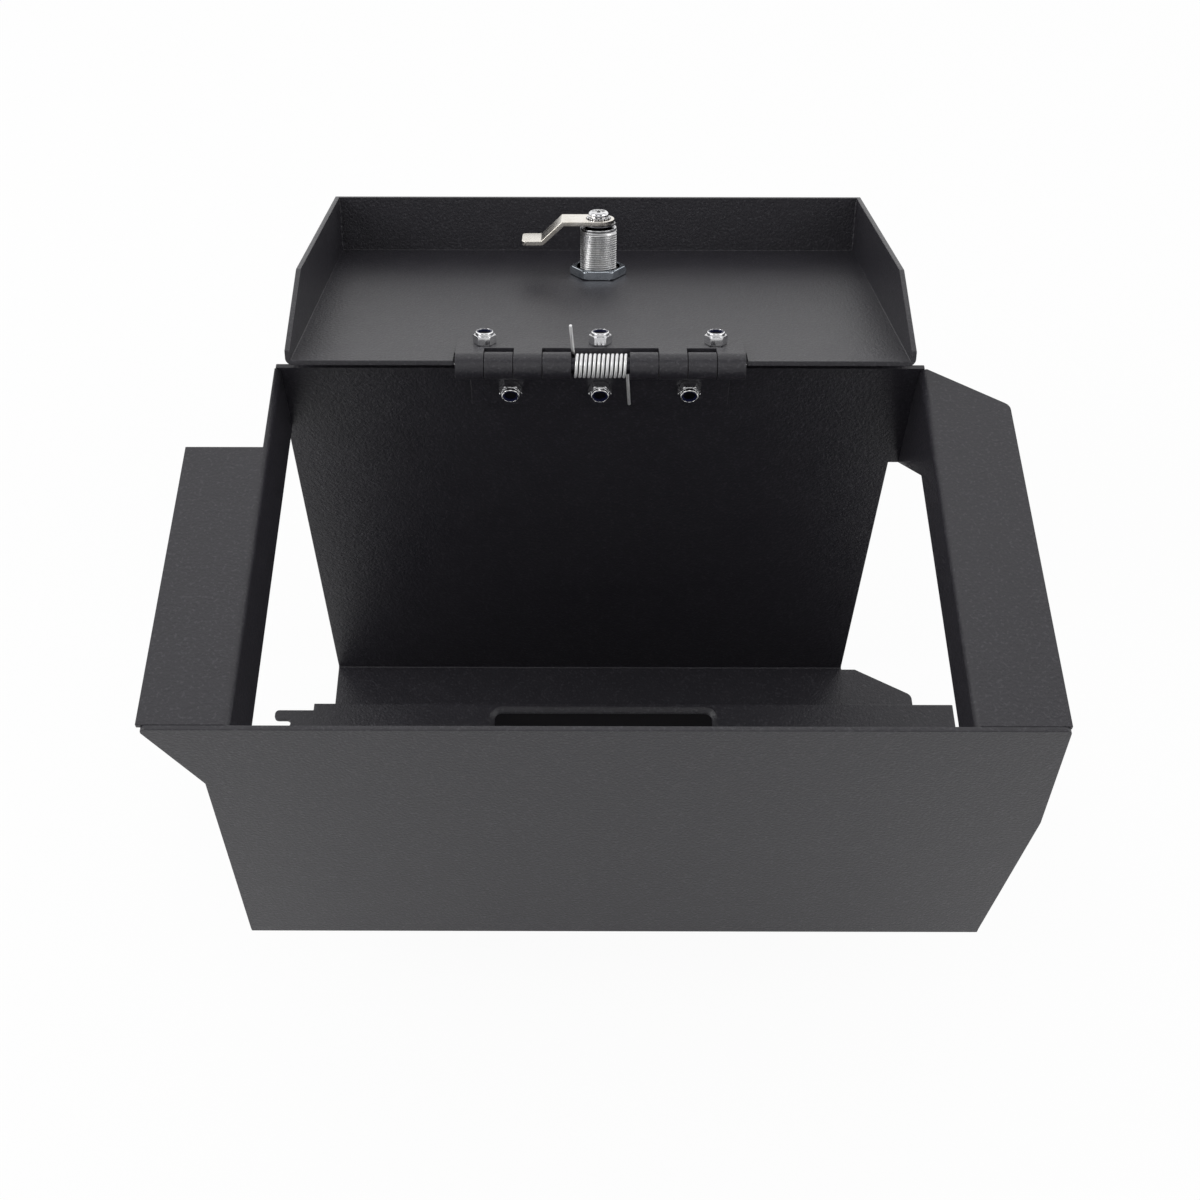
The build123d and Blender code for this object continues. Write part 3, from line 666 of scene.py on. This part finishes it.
def tube(name, line):
    """A round wire through points, its cut ends slightly eased."""
    rings = []
    side = Vector((1, 0, 0))
    for i, point in enumerate(line):
        ahead = line[min(i + 1, len(line) - 1)] - line[max(i - 1, 0)]
        ahead.normalize()
        side = (side - ahead * side.dot(ahead)).normalized()
        up = ahead.cross(side)
        eased = 0.82 if i in (0, len(line) - 1) else 1
        rings.append(
            [
                point
                + side * math.cos(turn) * wire_radius * eased
                + up * math.sin(turn) * wire_radius * eased
                for turn in (2 * math.pi * k / wire_sides for k in range(wire_sides))
            ]
        )
    return skin(name, rings)


def straight(start, end, ease):
    """Points of a straight leg, with one more close to each end for the eased cut."""
    way = (end - start).normalized()
    return [start, start + way * ease, end - way * ease, end]


end_ease = 0.15 * millimetre
coil_steps = int(sweep / (2 * math.pi) * steps_per_turn)
turn_angles = [i * 2 * math.pi / steps_per_turn for i in range(coil_steps + 1)]
coil_line = [coil_point(angle) for angle in turn_angles] + [coil_point(sweep)]
leg_way = (coil_point(0.001) - coil_point(0)).normalized()
bend_way = (coil_point(sweep) - coil_point(sweep - 0.001)).normalized()
bend_angle = bend_way.angle(leg_way)
bend_axis = bend_way.cross(leg_way).normalized()
bend_middle = coil_point(sweep) + bend_axis.cross(bend_way) * leg_bend
bend_steps = 10
bend_line = [
    bend_middle
    + Matrix.Rotation(bend_angle * i / bend_steps, 3, bend_axis)
    @ (coil_point(sweep) - bend_middle)
    for i in range(1, bend_steps + 1)
]
leg_end = bend_line[-1] + leg_way * lower_leg
spring = add_piece(
    "spring_coil",
    tube(
        "spring_coil",
        coil_line + bend_line + [leg_end - leg_way * end_ease, leg_end],
    ),
    "box",
    "spring_wire",
)
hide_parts("torsion_spring")

leg_top = coil_point(0) - leg_way * upper_leg
spring_leg = add_piece(
    "spring_upper_leg",
    tube("spring_upper_leg", straight(leg_top, coil_point(0), end_ease)),
    "box",
    "spring_wire",
)
tuple(coil_point(0))
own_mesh(spring_leg)
print("spring wire", len(coil_line), "points in the coil")

# %% [markdown]
# The lock sits in the lid, which leans back as it stands open. Its sizes are
# easiest to read in a frame of their own, with its origin where the lock's
# axis meets the tray's floor: across along the hinge, along down the lid, and
# inward out of the tray. The weld beads and powder runs use this frame too.

# %% The lock's own frame
lid_lean = math.radians(27.4)
along = Vector((0, math.cos(lid_lean), -math.sin(lid_lean)))
inward = Vector((0, -along.z, along.y))
lock_reach = 115.5
tray_floor_height = 3.3
lock_point = pin + along * lock_reach * millimetre + inward * tray_floor_height * millimetre


def on_lid(x, y, z):
    """A point from millimetres in the lock's own frame: across, along, inward."""
    across = Vector((x, 0, 0)) * millimetre
    return lock_point + across + along * y * millimetre + inward * z * millimetre


print("lock at", tuple(round(value, 4) for value in lock_point))

# %% [markdown]
# The lock's body is a casting with a cut thread, so that its nut can clamp it
# in the lid, and two flats that stop it turning in its hole. The flats and the
# fine ridges are a shape, not a bump: each point of the skin goes out to the
# thread's height at its own angle, and no further than the flats.

# %% Lock body with its thread
thread_crest = 9.5
thread_root = 9.05
thread_pitch = 1.0
thread_fullness = 1.25
flat_half = 8.0
body_height = 20.5
thread_start = 0.3
thread_end = 19.6
ring_points = 144
rings_per_turn = 8
plug_bore = 6.45
bore_mouth = 6.65
seat_radius = 7.65
seat_mouth = 7.85
seat_depth = 3.95
neck_end = 2.0
head_radius = 11.2
head_round = 1.2
head_face = 5.0
small_ease = 0.2
face_ease = 0.15
head_steps = 6
face_radius = 8.75
face_depth = 0.5
almost_nothing = 0.0001


def lock_ring(radius, height, threaded=False, flats=False):
    """One ring of the lock body, threaded and flattened where it is asked."""
    ring = []
    for k in range(ring_points):
        angle = 2 * math.pi * k / ring_points
        reach = radius
        if threaded:
            phase = (height / thread_pitch - angle / (2 * math.pi)) % 1
            ridge = 1 - abs(2 * phase - 1)
            reach = thread_root + (radius - thread_root) * min(1, ridge * thread_fullness)
        if flats:
            reach = min(reach, flat_half / max(abs(math.cos(angle)), almost_nothing))
        ring.append(on_lid(reach * math.cos(angle), reach * math.sin(angle), height))
    return ring


thread_rings = int((thread_end - thread_start) / thread_pitch * rings_per_turn)
thread_heights = [
    thread_start + (thread_end - thread_start) * i / thread_rings for i in range(thread_rings + 1)
]
bore_rings = [
    lock_ring(plug_bore, -seat_depth),
    lock_ring(plug_bore, body_height - small_ease),
    lock_ring(bore_mouth, body_height),
]
end_rings = [
    lock_ring(face_radius, body_height, flats=True),
    lock_ring(thread_root + face_ease, body_height - face_depth, flats=True),
]
thread = [
    lock_ring(thread_crest, height, threaded=True, flats=True)
    for height in reversed(thread_heights)
]
neck_rings = [
    lock_ring(thread_crest, 0, flats=True),
    lock_ring(thread_crest, -neck_end, flats=True),
    lock_ring(head_radius - small_ease, -neck_end),
    lock_ring(head_radius, -neck_end - small_ease),
]
head_rings = [
    lock_ring(
        head_radius - head_round + head_round * math.cos(step),
        head_round - head_face - head_round * math.sin(step),
    )
    for step in (math.pi / 2 * i / head_steps for i in range(head_steps + 1))
]
seat_rings = [
    lock_ring(seat_mouth, -head_face),
    lock_ring(seat_radius, face_ease - head_face),
    lock_ring(seat_radius, -seat_depth),
]
lock_rings = bore_rings + end_rings + thread + neck_rings + head_rings + seat_rings
lock_body = add_piece(
    "lock_body", skin("lock_body", lock_rings, True), "lid", "die_cast_nickel", 30
)
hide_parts("lock_housing")
print("lock body", len(lock_body.data.vertices), "points")

# %% [markdown]
# Where the lid's side flanges meet its front flange, the corner is closed by a
# short weld, and the powder runs over it as a soft bead. A bead is a row of
# overlapping drops, so its ring swells and shrinks along the seam.

# %% Weld beads in the lid's corners
bead_sides = 12
bead_steps = 36
bead_radius = 0.9
drops = 6
bead_base = 0.2
bead_short = 0.6
drop_valley = 0.72
drop_swell = 0.22
lid_half = 120.0
lid_length = 154.5
flange_height = 24.3


def bead(name, x_side):
    """A bead up one front corner of the lid, fatter at the tray's floor."""
    rings = []
    for i in range(bead_steps + 1):
        part = i / bead_steps
        drop = abs(math.sin(part * drops * math.pi))
        taper = min(1, 4 * (1 - part) + 0.35)
        swell = bead_radius * (drop_valley + drop_swell * drop) * taper
        height = bead_base + part * (flange_height - bead_short)
        rings.append(
            [
                on_lid(
                    x_side * lid_half + swell * math.cos(turn),
                    lid_length - lock_reach + swell * math.sin(turn),
                    height,
                )
                for turn in (2 * math.pi * k / bead_sides for k in range(bead_sides))
            ]
        )
    return add_piece(name, skin(name, rings), "lid", "black_powder_coat", 60)


beads = [bead("weld_bead_left", -1), bead("weld_bead_right", 1)]
print("beads", [piece.name for piece in beads])

# %% [markdown]
# The lid's tray is notched for the hinge, and a slit half a millimetre wide is
# left between each end of the barrel and the notch. The picture shows no light
# there, probably because powder melts across such a narrow slit. Each run of
# coat is a flat bead that follows the notch's side, a little thinner at its
# ends.

# %% Powder runs beside the barrel
run_middle = 56.75
run_half_width = 0.3
run_half_height = 0.9
run_height = -1.0
run_start = -3.85 - lock_reach
run_end = 5.7 - lock_reach
run_steps = 12
run_end_fill = 0.85


def powder_run(name, x_side):
    """A flat bead along one side of the lid's notch, thinner at its ends."""
    rings = []
    for i in range(run_steps + 1):
        part = i / run_steps
        fill = run_end_fill + (1 - run_end_fill) * math.sin(math.pi * part) ** 0.5
        rings.append(
            [
                on_lid(
                    x_side * (run_middle + run_half_width * fill * math.cos(turn)),
                    run_start + part * (run_end - run_start),
                    run_height + run_half_height * fill * math.sin(turn),
                )
                for turn in (2 * math.pi * k / bead_sides for k in range(bead_sides))
            ]
        )
    return add_piece(name, skin(name, rings), "lid", "black_powder_coat", 60)


runs = [powder_run("powder_run_left", -1), powder_run("powder_run_right", 1)]
print("runs", [piece.name for piece in runs])

# %% [markdown]
# The slot in the raised floor has a light band along its edge in the picture,
# against the dark below. That fits an edge pressed down into a smooth slope, so
# that a strap through the slot isn't cut. The solid has a plain cut edge, and
# this lip is laid over it: one profile that is carried along the slot's
# outline, four straight sides and four quarter turns.

# %% Pressed lip round the slot
slot_centre = Vector((2.7, -39.0, 0))
slot_half_length = 51.0
slot_half_width = 9.0
slot_round = 5.5
lip_profile = (
    (0.85, 57.03),
    (0.6, 57.13),
    (0.35, 57.03),
    (-1.55, 55.8),
    (-1.85, 55.58),
    (-2.05, 55.2),
    (-1.85, 54.85),
    (-0.2, 54.8),
    (0.85, 55.0),
)
corner_steps = 8


def lip_ring(corner, heading):
    """The lip's profile where the outline's outward side is at a heading."""
    outward = Vector((math.cos(heading), math.sin(heading), 0))
    return [
        (corner + outward * (slot_round + reach) + Vector((0, 0, height))) * millimetre
        for reach, height in lip_profile
    ]


lip_rings = []
for quarter, (x_sign, y_sign) in enumerate(((1, 1), (-1, 1), (-1, -1), (1, -1))):
    corner = slot_centre + Vector(
        (x_sign * (slot_half_length - slot_round), y_sign * (slot_half_width - slot_round), 0)
    )
    for i in range(corner_steps + 1):
        lip_rings.append(lip_ring(corner, math.pi / 2 * (quarter + i / corner_steps)))
slot_lip = add_piece(
    "slot_lip", skin("slot_lip", lip_rings, True), "box", "black_powder_coat", 60
)
print("slot lip", len(lip_rings), "rings")
